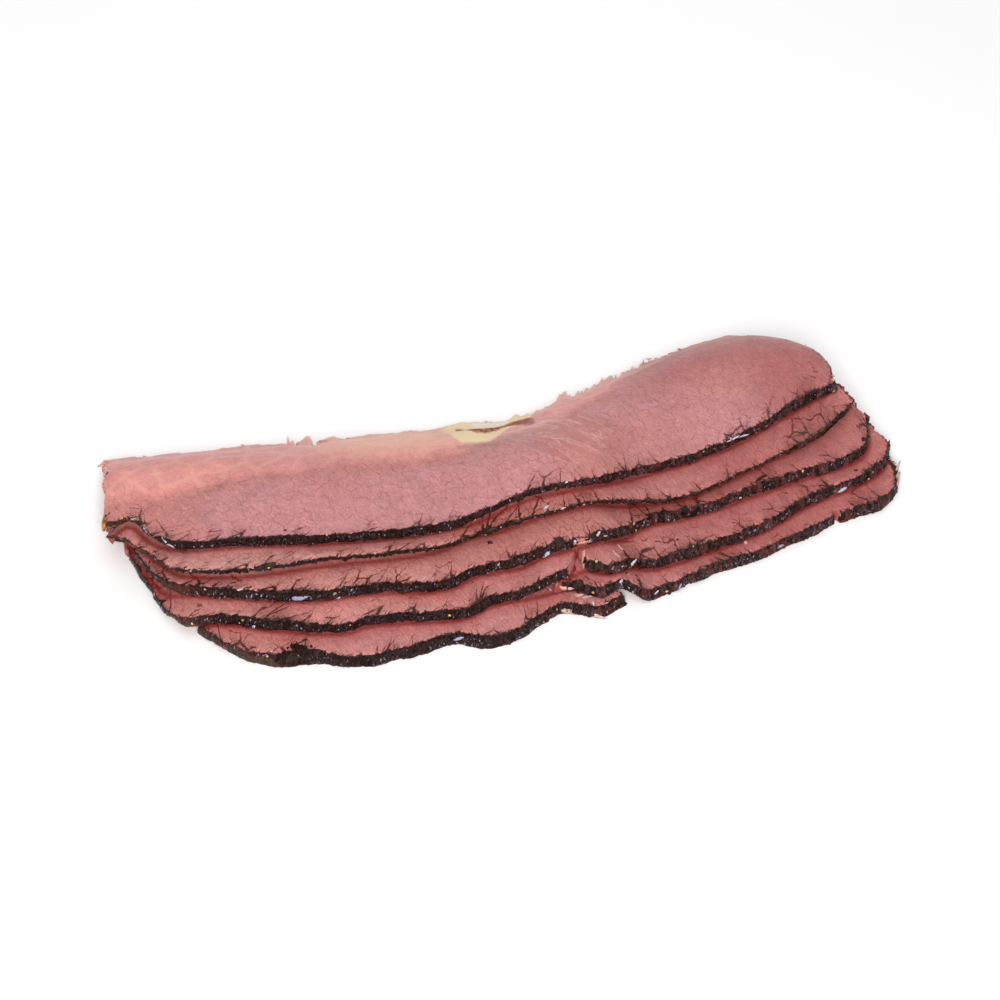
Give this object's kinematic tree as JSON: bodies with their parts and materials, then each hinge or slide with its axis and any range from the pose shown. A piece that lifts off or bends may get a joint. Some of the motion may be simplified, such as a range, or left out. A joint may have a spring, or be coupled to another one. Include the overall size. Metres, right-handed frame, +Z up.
{
  "type": "sliced smoked brisket",
  "caption": "Thin crusted slices of smoked beef brisket laid in a shingled, slightly curved pile, the lowest one torn into two lobes.",
  "frame": {"origin": "under the middle of the pile's box, on the surface it lies on", "axes": "+X along the pile towards its rounded right end, +Y to the torn back edges, +Z up"},
  "size_m": [0.2132, 0.0984, 0.0215],
  "materials": {
    "cured_beef": "moist cut face of cured and smoked beef, rose pink",
    "spice_crust": "dark crust of smoke, cracked pepper and coriander",
    "beef_fat": "soft cream-white fat"
  },
  "bodies": {
    "root": {"slice_1": "cured_beef", "slice_2": "cured_beef", "slice_3": "cured_beef", "slice_4": "cured_beef", "slice_5_left": "cured_beef", "slice_5_right": "cured_beef"}
  },
  "joints": []
}
